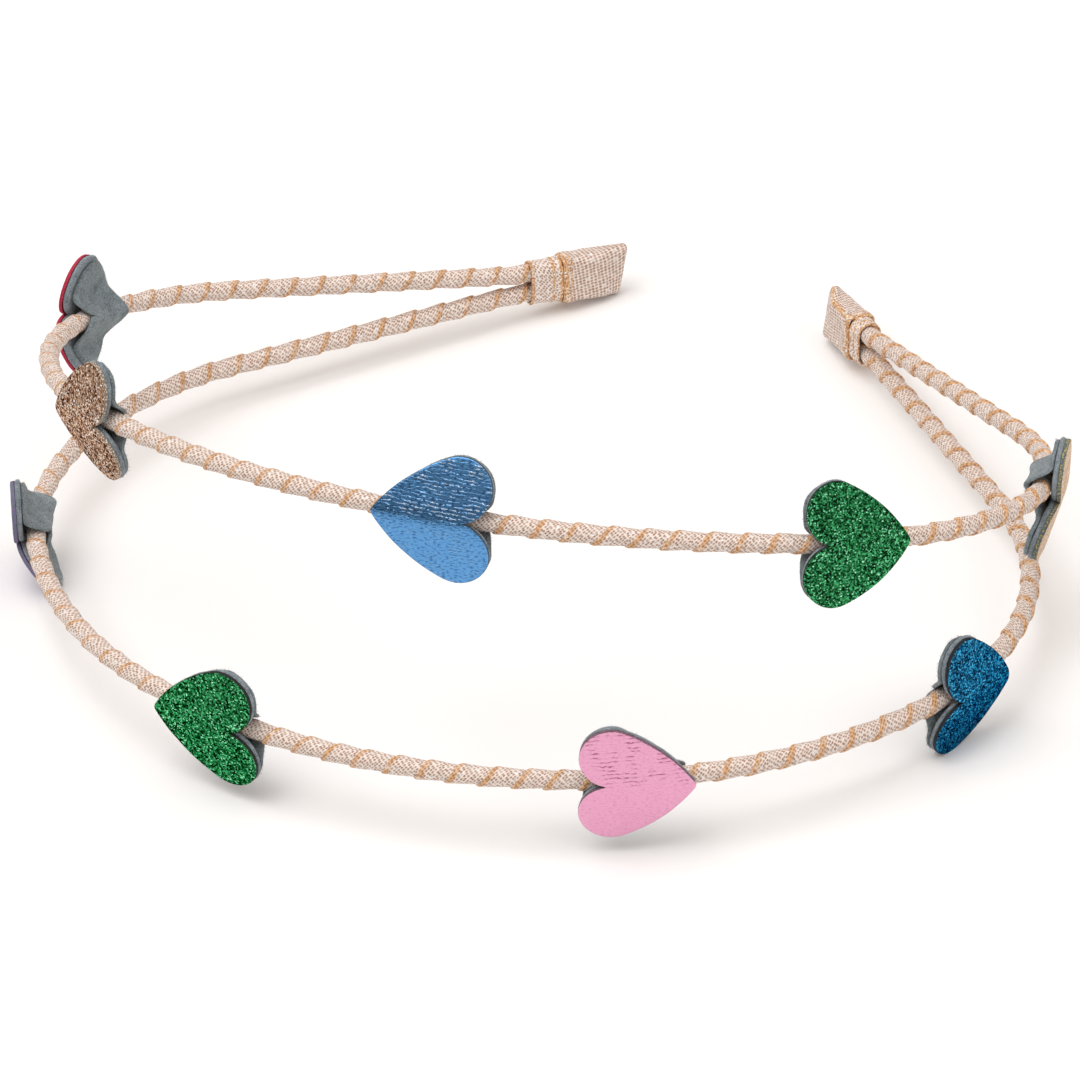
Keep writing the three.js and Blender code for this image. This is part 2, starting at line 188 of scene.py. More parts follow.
# Cap's sewn seam: which cap has it, the sides of its section that it covers, and its swell
SEAM_CAP = "right"
SEAM_SIDES = range(3, 6)
SEAM_SWELL = 0.1 * MM

# Lap given to faces away from a tape's edge, and the width over which a rim's pattern is unrolled
FAR_FROM_EDGE = 10 * MM
RIM_UNROLLED = 0.5 * MM

# Lumps of a cloth's surface: height, size across and seed; a seed moves the noise by this much
LUMPS = {
    "tape": (0.035 * MM, 1.9 * MM, 3),
    "binding": (0.05 * MM, 1.6 * MM, 5),
    "cap": (0.09 * MM, 2.4 * MM, 9),
}
SEED_SHIFT = Vector((7.31, 3.77, 5.19))

# Knits: a loop's length and width in millimetres, slant in degrees, share of the slit, and disorder
KNITS = {
    "metallic knit tape": (0.52, 0.32, 45, 0.5, 0.4),
    "metallic knit binding": (0.5, 0.32, 45, 0.48, 0.4),
    "coarse woven cap cloth": (0.56, 0.42, -8, 0.56, 0.2),
}

# Slits of a knit, painted darker as the shade in its holes: the share that is fully dark and the depth; then
# the yarn's cloudy shade, and where the tan thread fades away from the tape's edge
SLIT_CORE = 0.35
SLIT_DEPTH = 0.09 * MM
YARN_SHADE = 0.9 * MM
EDGE_THREAD = (0.5 * MM, 1.05 * MM)

# Overlocked edge: width and depth of a stitch, the painted shade in its gaps, and its threads by share, none
# being the edge's own
STITCH = 0.26 * MM
STITCH_DEPTH = 0.08 * MM
STITCH_GAP_SHADE = "#A86E45"
STITCH_THREADS = ((0.0, "#CE9A68"), (0.4, None), (0.75, "#EBCBA6"), (0.97, "#FBF1E6"))

# Felt: size of its clouds and fibres, how deep the fibres lie, and the shade between them
FELT_CLOUD = 1.4 * MM
FELT_FIBRE = 0.24 * MM
FELT_DEPTH = 0.22 * MM
FELT_SHADE = {"front": "#56626A", "back": "#4B565B"}

# Foil's grain, its wrinkles' patches and stretch, and the fade from one half to the other; then a face's cut
# edge: width of its thread ends, and the angle that keeps it sharp
FOIL_GRAIN = (0.5 * MM, 0.2 * MM, 1)
FOIL_PATCH = 2.4 * MM
WRINKLE_STRETCH = (2 * MM, MM, 1)
FOIL_UPPER_HALF = (-0.6 * MM, 1.2 * MM)
THREAD_END = 0.32 * MM
CUT_EDGE_ANGLE = math.radians(50)

# Flakes: lean, the shares of them in each colour, then width in millimetres and colours from backing to
# flash;
# the palest colours are painted highlights, flakes painted as if they flashed
FLAKE_LEAN = 0.55
FLAKE_SHARES = (0.0, 0.3, 0.62, 0.9, 0.99)
GLITTER = {
    "bronze_glitter": (0.22, ("#5A4336", "#9E7C68", "#D2B098", "#F8E6D2", "#FFFFFF")),
    "green_glitter": (0.19, ("#06140B", "#18522D", "#328E53", "#58CC88", "#A8FFCC")),
    "yellow_glitter": (0.17, ("#B09880", "#DCC4AC", "#EEDCCB", "#F8EDE2", "#FFFFFF")),
    "lilac_glitter": (0.17, ("#2C1A3C", "#6C4796", "#9C78C4", "#C7AEE2", "#FDF6FF")),
    "blue_glitter": (0.2, ("#0B2030", "#224E70", "#317EAC", "#48AEDE", "#68D6FF")),
}

# Foils: film, the wrinkles' painted light (a painted highlight on the blue, painted shade on the crimson and
# pink), specks, the heart's side that lies uppermost, then the wrinkles' height and spacing in millimetres,
# and their slant in degrees
FOIL = {
    "crimson_foil": ("#C22246", "#8A1430", "#A81B3C", -1, 0.03, 0.7, 2),
    "blue_foil": ("#609AD0", "#F4FAFF", "#2C5184", -1, 0.08, 0.5, -4),
    "pink_foil": ("#E2A4C2", "#A8506E", "#CF8FAF", 1, 0.03, 0.62, 5),
}

# Period of Blender's wave texture at a scale of 1
WAVE_PERIOD = math.pi / 10

# Cut edges of the faces: cloth and dots
CUT_EDGE = {
    "crimson_foil": ("#A81D3C", "#C62D4E"),
    "bronze_glitter": ("#8A7866", "#D8CEC0"),
    "blue_foil": ("#3A4652", "#566472"),
    "green_glitter": ("#141815", "#222C25"),
    "yellow_glitter": ("#59646A", "#B4A654"),
    "lilac_glitter": ("#66707C", "#8A62A8"),
    "pink_foil": ("#5E4A52", "#8E7480"),
    "blue_glitter": ("#121417", "#1E2830"),
}

# Studio's brightness by height of the way: dark near the horizon, bright overhead
SKY = ((0.0, 0.18), (0.3, 0.27), (0.6, 0.38), (0.8, 0.85), (1.0, 1.5))
SKY_TINT = (1.06, 1, 0.96)

# Lamps: place and size in metres
LAMPS = {"key": ((-0.35, -0.25, 1.0), 0.9), "fill": ((0.8, -0.2, 0.6), 0.7)}

# Camera: where it aims beside the band's middle, right and up in the picture, then its sensor and clipping
AIM_RIGHT = -1.062 * MM
AIM_UP = -9.206 * MM
SENSOR_WIDTH = 36
CLIP_START = 0.05
CLIP_END = 20

# Settings that several nodes share
SMOOTH = {"interpolation_type": "SMOOTHSTEP"}
MULTIPLY = {"operation": "MULTIPLY"}
COLOURS = {"data_type": "RGBA"}
FLAT_CELLS = {"voronoi_dimensions": "2D"}
FLAT_EDGES = {"voronoi_dimensions": "2D", "feature": "DISTANCE_TO_EDGE"}
FLAT_NOISE = {"noise_dimensions": "2D"}
PATTERN_SPACE = {"vector_type": "TEXTURE"}


def linear(hex_colour):
    """Linear colour, with alpha, from an sRGB hex value."""
    values = [int(hex_colour[index:index + 2], 16) / 255 for index in (1, 3, 5)]
    curve = [value / 12.92 if value <= 0.04045 else ((value + 0.055) / 1.055) ** 2.4 for value in values]
    return (*curve, 1.0)


def length_property(name, description, millimetres):
    """Length that a user may change, given in millimetres and held in metres."""
    return bpy.props.FloatProperty(name=name, description=description, default=millimetres * MM,
                                   unit="LENGTH", precision=5)


def colour_property(name, description, hex_colour):
    """Colour that a user may change, given as an sRGB hex value."""
    return bpy.props.FloatVectorProperty(name=name, description=description, default=linear(hex_colour),
                                         size=4, min=0, max=1, subtype="COLOR")


class HEADBAND_PG_strands(bpy.types.PropertyGroup):
    """Sizes and colours of the wound strands, their bindings and caps"""
    radius: length_property("Radius", "Strand's radius under the tape's edge", 1.23)
    tape_step: length_property("Tape step", "Height of a lapped turn above the one before", 0.16)
    tape_pitch: length_property("Tape pitch", "Distance between turns along the strand", 4.2)
    tape_colour: colour_property("Tape", "Pale metallic knit", "#F2E4DA")
    # Painted shade: the darker colour given to the holes of the knit and of the cap cloth
    slit_shade_colour: colour_property("Gaps", "Shade between the knit's threads", "#A2765C")
    edge_colour: colour_property("Edges", "Overlocked edge of the tape", "#E2AE76")


class HEADBAND_PG_hearts(bpy.types.PropertyGroup):
    """Sizes and colours of the hearts"""
    face_thickness: length_property("Face", "Thickness of the glitter cloth or foil", 0.45)
    front_felt: length_property("Front felt", "Thickness of the felt under the face", 0.75)
    back_felt: length_property("Back felt", "Thickness of the felt folded round the strand", 0.65)
    front_colour: colour_property("Front felt", "Blue-grey felt under the face", "#A3B0B8")
    back_colour: colour_property("Back felt", "Green-grey felt at the back", "#9AA8AE")


class HEADBAND_PG_stage(bpy.types.PropertyGroup):
    """Floor, light and camera"""
    floor_size: length_property("Floor", "Side of the floor", 5000)
    floor_colour: colour_property("Floor", "Pale matt floor", "#FAFAFA")
    lens: bpy.props.FloatProperty(name="Lens", description="Focal length of the camera",
                                  default=281.4, unit="CAMERA")
    distance: length_property("Distance", "Camera's distance from the band's middle", 1107)
    azimuth: bpy.props.FloatProperty(name="Azimuth", description="Camera's turn round the band",
                                     default=math.radians(22.523), subtype="ANGLE")
    elevation: bpy.props.FloatProperty(name="Elevation", description="Camera's height over the band's plane",
                                       default=math.radians(26.26), subtype="ANGLE")
    key_power: bpy.props.FloatProperty(name="Key", description="Power of the large overhead light",
                                       default=5.5, unit="POWER")
    fill_power: bpy.props.FloatProperty(name="Fill", description="Power of the side light",
                                        default=1.5, unit="POWER")


def plan_of(strand):
    """Pieces of a strand's right half in plan, from the fork to the crown, and their whole length."""
    x = FORK_X
    y = FORK_Y
    heading = -math.radians(strand["heading"])
    pieces = [(x, y, -CAP_HEADING, 0, math.inf), (x, y, heading, strand["tail"], math.inf)]
    x += strand["tail"] * math.cos(heading)
    y += strand["tail"] * math.sin(heading)
    for radius, sweep in strand["bends"]:
        turn = math.radians(sweep)
        pieces.append((x, y, heading, radius * turn, radius))
        x += radius * (math.sin(heading) - math.sin(heading - turn))
        y -= radius * (math.cos(heading) - math.cos(heading - turn))
        heading -= turn
    crown_turn = heading + math.pi
    crown_radius = x / math.sin(crown_turn)
    pieces.append((x, y, heading, crown_radius * crown_turn, crown_radius))
    return pieces, sum(piece[3] for piece in pieces)


PLANS = {name: plan_of(strand) for name, strand in STRANDS.items()}


def strand_points(name, places):
    """Points on a strand's middle line at distances from the crown, negative to the left."""
    pieces, length = PLANS[name]
    strand = STRANDS[name]
    rest = length - np.abs(places)
    x = np.zeros_like(rest)
    y = np.zeros_like(rest)
    passed = -math.inf
    for piece_x, piece_y, heading, piece_length, radius in pieces:
        local = rest - max(passed, 0)
        if radius == math.inf:
            new_x = piece_x + local * math.cos(heading)
            new_y = piece_y + local * math.sin(heading)
        else:
            turn = local / radius
            new_x = piece_x + radius * (math.sin(heading) - np.sin(heading - turn))
            new_y = piece_y - radius * (math.cos(heading) - np.cos(heading - turn))
        reached = rest >= passed
        x = np.where(reached, new_x, x)
        y = np.where(reached, new_y, y)
        passed = max(passed, 0) + piece_length
    before_fork = FORK_Y - y
    splay = (before_fork + np.hypot(before_fork, FORK_SOFTNESS)) / 2
    z = strand["side"] * (STRAND_SPACING / 2 + math.tan(math.radians(strand["tilt"])) * splay)
    return np.stack((np.sign(places) * x, y, z), axis=-1)


def unit(vectors):
    """Vectors with their length made 1."""
    return vectors / np.linalg.norm(vectors, axis=-1, keepdims=True)


def on_strand(name, places, out, across):
    """Points beside a strand: outwards from the head, and across it, upwards."""
    along = unit(strand_points(name, places + FRAME_STEP) - strand_points(name, places - FRAME_STEP))
    outward = unit(np.cross(along, UP))
    upward = np.cross(outward, along)
    return strand_points(name, places) + outward * out[..., None] + upward * across[..., None]


def unevenness(points, size, seed):
    """Smooth noise from -1 to 1 at each point, with lumps of the given size."""
    shift = seed * SEED_SHIFT
    flat = points.reshape(-1, 3) / size
    values = [noise.noise(Vector(point) + shift) for point in flat]
    return np.array(values).reshape(points.shape[:-1])


def lumps_of(cloth, points):
    """Height of a cloth's lumps at each point."""
    height, size, seed = LUMPS[cloth]
    return height * unevenness(points, size, seed)


def add_node(tree, kind, settings=None, inputs=None):
    """Node of a kind with its settings; each input is a value or a socket to link from."""
    node = tree.nodes.new(kind)
    for name, value in (settings or {}).items():
        if name == "stops":
            ramp = node.color_ramp.elements
            while len(ramp) < len(value):
                ramp.new(1.0)
            for element, (position, colour) in zip(ramp, value):
                element.position = position
                element.color = colour
        else:
            setattr(node, name, value)
    for name, value in (inputs or {}).items():
        if isinstance(value, bpy.types.NodeSocket):
            tree.links.new(value, node.inputs[name])
        else:
            node.inputs[name].default_value = value
    return node


def new_material(name):
    """Empty material: itself, its node tree, and the cloth's own flat coordinates in metres."""
    material = bpy.data.materials.new(name)
    material.use_nodes = True
    tree = material.node_tree
    tree.nodes.clear()
    flat = add_node(tree, "ShaderNodeUVMap", {"uv_map": "cloth"}).outputs["UV"]
    return material, tree, flat


def finish_material(tree, inputs):
    """Principled surface with these inputs, joined to the material's output."""
    surface = add_node(tree, "ShaderNodeBsdfPrincipled", None, inputs)
    add_node(tree, "ShaderNodeOutputMaterial", None, {"Surface": surface.outputs["BSDF"]})


def knit_tape_material(settings, name):
    """Metallic yarn knitted or woven to a ribbon: pale loops, slits painted brown as shade between them, a
    few bright glints.

    Near the tape's own edge, where one is, an overlocking thread tints it tan.
    """
    along, across, slant, hole, disorder = KNITS[name]
    material, tree, flat = new_material(name)
    place = add_node(tree, "ShaderNodeMapping", PATTERN_SPACE, {
        "Vector": flat, "Rotation": (0, 0, math.radians(slant)), "Scale": (along * MM, across * MM, 1)})
    loops = add_node(tree, "ShaderNodeTexVoronoi", FLAT_CELLS, {
        "Vector": place.outputs["Vector"], "Scale": 1, "Randomness": disorder})
    slit = add_node(tree, "ShaderNodeMapRange", SMOOTH, {
        "Value": loops.outputs["Distance"], "From Min": hole * SLIT_CORE, "From Max": hole,
        "To Min": 1, "To Max": 0})
    shade = add_node(tree, "ShaderNodeTexNoise", None, {"Vector": flat, "Scale": 1 / YARN_SHADE, "Detail": 3})
    depth = add_node(tree, "ShaderNodeMapRange", None, {
        "Value": shade.outputs["Fac"], "From Min": 0.35, "From Max": 0.6, "To Min": 0.6, "To Max": 1})
    # Painted shade: the slits get the darker colour as the shade in the holes between the loops, more where
    # the noise makes them deeper
    slit_shade_share = add_node(tree, "ShaderNodeMath", MULTIPLY, {
        0: slit.outputs["Result"], 1: depth.outputs["Result"]})
    chance = add_node(tree, "ShaderNodeSeparateColor", None, {"Color": loops.outputs["Color"]})
    bright = add_node(tree, "ShaderNodeMapRange", None, {
        "Value": chance.outputs["Green"], "From Min": 0.95, "From Max": 0.97})
    glint = add_node(tree, "ShaderNodeMath", MULTIPLY, {
        0: bright.outputs["Result"], 1: shade.outputs["Fac"]})

    lap = add_node(tree, "ShaderNodeUVMap", {"uv_map": "lap"})
    past_edge = add_node(tree, "ShaderNodeSeparateXYZ", None, {"Vector": lap.outputs["UV"]})
    thread = add_node(tree, "ShaderNodeMapRange", SMOOTH, {
        "Value": past_edge.outputs["X"], "From Min": EDGE_THREAD[0], "From Max": EDGE_THREAD[1],
        "To Min": 1, "To Max": 0})
    patchy = add_node(tree, "ShaderNodeMapRange", None, {
        "Value": shade.outputs["Fac"], "From Min": 0.3, "From Max": 0.55, "To Min": 0.5, "To Max": 1})
    tan_share = add_node(tree, "ShaderNodeMath", MULTIPLY, {
        0: thread.outputs["Result"], 1: patchy.outputs["Result"]})

    yarn = add_node(tree, "ShaderNodeMix", COLOURS, {
        0: tan_share.outputs["Value"], 6: settings.tape_colour, 7: settings.edge_colour})
    knit = add_node(tree, "ShaderNodeMix", COLOURS, {
        0: slit_shade_share.outputs["Value"], 6: yarn.outputs[2], 7: settings.slit_shade_colour})
    colour = add_node(tree, "ShaderNodeMix", COLOURS, {
        0: glint.outputs["Value"], 6: knit.outputs[2], 7: linear("#FFFFFF")})
    metal = add_node(tree, "ShaderNodeMath", MULTIPLY, {0: glint.outputs["Value"], 1: 0.6})
    gloss = add_node(tree, "ShaderNodeMapRange", None, {
        "Value": glint.outputs["Value"], "To Min": 0.62, "To Max": 0.25})
    relief = add_node(tree, "ShaderNodeBump", None, {
        "Height": slit.outputs["Result"], "Strength": 0.8, "Distance": -SLIT_DEPTH})
    finish_material(tree, {
        "Base Color": colour.outputs[2], "Metallic": metal.outputs["Value"],
        "Roughness": gloss.outputs["Result"], "Normal": relief.outputs["Normal"], "IOR": 1.5,
        "Sheen Weight": 0.15})
    return material


def overlocked_edge_material(settings):
    """Tan thread stitched over a cloth's edge: close loops, some nearly white, with brown painted shade
    between them.
    """
    material, tree, flat = new_material("overlocked tan thread")
    stitches = add_node(tree, "ShaderNodeTexVoronoi", FLAT_CELLS, {
        "Vector": flat, "Scale": 1 / STITCH, "Randomness": 0.9})
    chance = add_node(tree, "ShaderNodeSeparateColor", None, {"Color": stitches.outputs["Color"]})
    stops = [(place, linear(colour) if colour else settings.edge_colour) for place, colour in STITCH_THREADS]
    thread = add_node(tree, "ShaderNodeValToRGB", {"stops": stops}, {"Fac": chance.outputs["Red"]})
    # Painted shade: the gaps between the stitches, sunk by the bump below, are painted brown as their shade
    dark = add_node(tree, "ShaderNodeMapRange", SMOOTH, {
        "Value": stitches.outputs["Distance"], "From Min": 0.4, "From Max": 0.75})
    colour = add_node(tree, "ShaderNodeMix", COLOURS, {
        0: dark.outputs["Result"], 6: thread.outputs["Color"], 7: linear(STITCH_GAP_SHADE)})
    relief = add_node(tree, "ShaderNodeBump", None, {
        "Height": dark.outputs["Result"], "Strength": 0.8, "Distance": -STITCH_DEPTH})
    finish_material(tree, {
        "Base Color": colour.outputs[2], "Roughness": 0.55, "Normal": relief.outputs["Normal"], "IOR": 1.5,
        "Sheen Weight": 0.15})
    return material


def felt_material(name, colour, shade):
    """Pressed wool: matt and cloudy, with short fibres lying every way."""
    material, tree, _ = new_material(name)
    place = add_node(tree, "ShaderNodeTexCoord").outputs["Object"]
    clouds = add_node(tree, "ShaderNodeTexNoise", None, {
        "Vector": place, "Scale": 1 / FELT_CLOUD, "Detail": 3})
    fibres = add_node(tree, "ShaderNodeTexNoise", None, {
        "Vector": place, "Scale": 1 / FELT_FIBRE, "Detail": 3, "Roughness": 0.7, "Distortion": 0.3})
    mixed = add_node(tree, "ShaderNodeMath", {"operation": "MULTIPLY_ADD"}, {
        0: clouds.outputs["Fac"], 1: 0.4, 2: fibres.outputs["Fac"]})
    share = add_node(tree, "ShaderNodeMapRange", None, {
        "Value": mixed.outputs["Value"], "From Min": 0.5, "From Max": 0.9})
    tint = add_node(tree, "ShaderNodeMix", COLOURS, {
        0: share.outputs["Result"], 6: linear(shade), 7: colour})
    relief = add_node(tree, "ShaderNodeBump", None, {
        "Height": fibres.outputs["Fac"], "Strength": 1, "Distance": FELT_DEPTH})
    finish_material(tree, {
        "Base Color": tint.outputs[2], "Roughness": 0.95, "Normal": relief.outputs["Normal"], "IOR": 1.5,
        "Sheen Weight": 0.3, "Sheen Roughness": 0.5})
    return material


def glitter_material(name, size, colours):
    """Flakes of coloured film on dark backing: each leans its own way, so some flash and some go dark; the
    palest flakes are painted highlights.
    """
    material, tree, flat = new_material(name)
    flakes = add_node(tree, "ShaderNodeTexVoronoi", FLAT_CELLS, {
        "Vector": flat, "Scale": 1 / (size * MM)})
    edges = add_node(tree, "ShaderNodeTexVoronoi", FLAT_EDGES, {
        "Vector": flat, "Scale": 1 / (size * MM)})
    chance = add_node(tree, "ShaderNodeSeparateColor", None, {"Color": flakes.outputs["Color"]})
    # Painted highlight: the top colours of the ramp paint some flakes pale, as if they flashed
    stops = [(place, linear(colour)) for place, colour in zip(FLAKE_SHARES, colours)]
    tint = add_node(tree, "ShaderNodeValToRGB", {"stops": stops}, {"Fac": chance.outputs["Red"]})
    gap = add_node(tree, "ShaderNodeMapRange", None, {
        "Value": edges.outputs["Distance"], "From Min": 0.02, "From Max": 0.12, "To Min": 0.8, "To Max": 0})
    colour = add_node(tree, "ShaderNodeMix", COLOURS, {
        0: gap.outputs["Result"], 6: tint.outputs["Color"], 7: linear(colours[0])})
    lean = add_node(tree, "ShaderNodeVectorMath", {"operation": "MULTIPLY_ADD"}, {
        0: flakes.outputs["Color"], 1: (FLAKE_LEAN,) * 3, 2: (-FLAKE_LEAN / 2,) * 3})
    normal = add_node(tree, "ShaderNodeNewGeometry").outputs["Normal"]
    leaned = add_node(tree, "ShaderNodeVectorMath", {"operation": "ADD"}, {
        0: normal, 1: lean.outputs["Vector"]})
    facing = add_node(tree, "ShaderNodeVectorMath", {"operation": "NORMALIZE"}, {0: leaned.outputs["Vector"]})
    finish_material(tree, {
        "Base Color": colour.outputs[2], "Metallic": 1, "Roughness": 0.35, "Normal": facing.outputs["Vector"],
        "Specular Tint": colour.outputs[2]})
    return material


def foil_material(name, film, wrinkle_light_and_shade, speck, upper, relief, spacing, slant):
    """Metal film pressed on cloth: a coloured mirror, with fine wrinkles that crowd its upper half and carry
    painted light.
    """
    material, tree, flat = new_material(name)
    turned = add_node(tree, "ShaderNodeMapping", PATTERN_SPACE, {
        "Vector": flat, "Rotation": (0, 0, math.radians(slant)), "Scale": WRINKLE_STRETCH})
    waves = add_node(tree, "ShaderNodeTexWave", {"bands_direction": "Y"}, {
        "Vector": turned.outputs["Vector"], "Scale": WAVE_PERIOD / spacing, "Distortion": 5, "Detail": 3,
        "Detail Scale": 1.6, "Detail Roughness": 0.6})
    ridges = add_node(tree, "ShaderNodeMapRange", SMOOTH, {
        "Value": waves.outputs["Fac"], "From Min": 0.72, "From Max": 0.95})
    place = add_node(tree, "ShaderNodeSeparateXYZ", None, {"Vector": flat})
    half = add_node(tree, "ShaderNodeMapRange", SMOOTH, {
        "Value": place.outputs["Y"], "From Min": upper * FOIL_UPPER_HALF[0],
        "From Max": upper * FOIL_UPPER_HALF[1], "To Min": 0.14, "To Max": 1})
    patches = add_node(tree, "ShaderNodeTexNoise", FLAT_NOISE, {
        "Vector": flat, "Scale": 1 / FOIL_PATCH, "Detail": 1.5})
    patch = add_node(tree, "ShaderNodeMapRange", SMOOTH, {
        "Value": patches.outputs["Fac"], "From Min": 0.44, "From Max": 0.62, "To Min": 0.08, "To Max": 1})
    crowded = add_node(tree, "ShaderNodeMath", MULTIPLY, {
        0: half.outputs["Result"], 1: patch.outputs["Result"]})
    grained = add_node(tree, "ShaderNodeMapping", PATTERN_SPACE, {
        "Vector": flat, "Scale": FOIL_GRAIN})
    grain = add_node(tree, "ShaderNodeTexNoise", FLAT_NOISE, {
        "Vector": grained.outputs["Vector"], "Scale": 1, "Detail": 2})
    broken = add_node(tree, "ShaderNodeMapRange", SMOOTH, {
        "Value": grain.outputs["Fac"], "From Min": 0.42, "From Max": 0.58})
    lines = add_node(tree, "ShaderNodeMath", MULTIPLY, {
        0: ridges.outputs["Result"], 1: broken.outputs["Result"]})
    wrinkles = add_node(tree, "ShaderNodeMath", MULTIPLY, {
        0: lines.outputs["Value"], 1: crowded.outputs["Value"]})
    specks = add_node(tree, "ShaderNodeMapRange", SMOOTH, {
        "Value": grain.outputs["Fac"], "From Min": 0.5, "From Max": 0.3, "To Min": 0, "To Max": 0.7})
    specked = add_node(tree, "ShaderNodeMix", COLOURS, {
        0: specks.outputs["Result"], 6: linear(film), 7: linear(speck)})
    # Painted light: the wrinkles, crowded on the heart's uppermost half, are tinted paler than the film as a
    # painted highlight (blue) and darker as painted shade (crimson, pink)
    share = add_node(tree, "ShaderNodeMath", MULTIPLY, {0: wrinkles.outputs["Value"], 1: 0.85})
    tint = add_node(tree, "ShaderNodeMix", COLOURS, {
        0: share.outputs["Value"], 6: specked.outputs[2], 7: linear(wrinkle_light_and_shade)})
    height = add_node(tree, "ShaderNodeMath", {"operation": "MULTIPLY_ADD"}, {
        0: grain.outputs["Fac"], 1: 0.3, 2: wrinkles.outputs["Value"]})
    raised = add_node(tree, "ShaderNodeBump", None, {
        "Height": height.outputs["Value"], "Strength": 1, "Distance": relief * MM})
    finish_material(tree, {
        "Base Color": tint.outputs[2], "Metallic": 1, "Roughness": 0.22, "Normal": raised.outputs["Normal"]})
    return material


def backing_material(name, dark, dots):
    """Cut edge of a face's cloth backing: matt, with the ends of its threads or stray flakes as dots."""
    material, tree, flat = new_material(name)
    specks = add_node(tree, "ShaderNodeTexVoronoi", FLAT_CELLS, {
        "Vector": flat, "Scale": 1 / THREAD_END})
    share = add_node(tree, "ShaderNodeMapRange", SMOOTH, {
        "Value": specks.outputs["Distance"], "From Min": 0.18, "From Max": 0.42, "To Min": 1, "To Max": 0})
    tint = add_node(tree, "ShaderNodeMix", COLOURS, {
        0: share.outputs["Result"], 6: linear(dark), 7: linear(dots)})
    finish_material(tree, {"Base Color": tint.outputs[2], "Roughness": 0.8, "IOR": 1.5})
    return material


def face_materials(finish):
    """Materials of a heart's face: its sheet and its cut edge."""
    words = finish.replace("_", " ")
    if finish in GLITTER:
        sheet = glitter_material(f"{words} cloth", *GLITTER[finish])
    else:
        sheet = foil_material(f"{words} film", *FOIL[finish])
    return sheet, backing_material(f"{words} cut edge", *CUT_EDGE[finish])


def signed_volume(points, faces):
    """Six times the volume inside the faces, negative where they are inside out."""
    fans = [(face[0], face[turn], face[turn + 1]) for face in faces for turn in range(1, len(face) - 1)]
    first, second, third = points[np.array(fans).T]
    return np.einsum("ij,ij->", first, np.cross(second, third))


class Surface:
    """Faces of a piece as they are made: corners, the cloth's flat place and lap at each, and material."""

    def __init__(self):
        self.faces = []
        self.flats = []
        self.laps = []
        self.marks = []

    def add(self, corners, flats, mark=0, laps=None):
        """One face; away from the tape's edge where no laps are given."""
        self.faces.append(tuple(corners))
        self.flats.append(tuple(flats))
        self.laps.append(tuple(laps or (FAR_FROM_EDGE,) * len(corners)))
        self.marks.append(mark)


def add_piece(name, points, surface, materials, node, slot, sharp=None):
    """Mesh of points in the band's own frame, laid as the band lies, standing for a node."""
    laid = points @ np.array(LAID.to_3x3()).T + np.array(LAID.translation)
    step = 1 if signed_volume(laid, surface.faces) > 0 else -1
    mesh = bpy.data.meshes.new(name)
    mesh.from_pydata(laid.tolist(), [], [face[::step] for face in surface.faces])
    flats = [pair for flat in surface.flats for pair in flat[::step]]
    laps = [(lap, 0) for face_laps in surface.laps for lap in face_laps[::step]]
    for layer_name, pairs in (("cloth", flats), ("lap", laps)):
        layer = mesh.uv_layers.new(name=layer_name)
        layer.data.foreach_set("uv", np.array(pairs).ravel())
    for material in materials:
        mesh.materials.append(material)
    mesh.polygons.foreach_set("material_index", surface.marks)
    mesh.shade_smooth()
    if sharp:
        mesh.set_sharp_from_angle(angle=sharp)
    piece = bpy.data.objects.new(name, mesh)
    bpy.context.scene.collection.objects.link(piece)
    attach(piece, "root")
    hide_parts(node)


def square(row, place):
    """Corners of one face between two rows and two places."""
    return (row, place), (row, place + 1), (row + 1, place + 1), (row + 1, place)


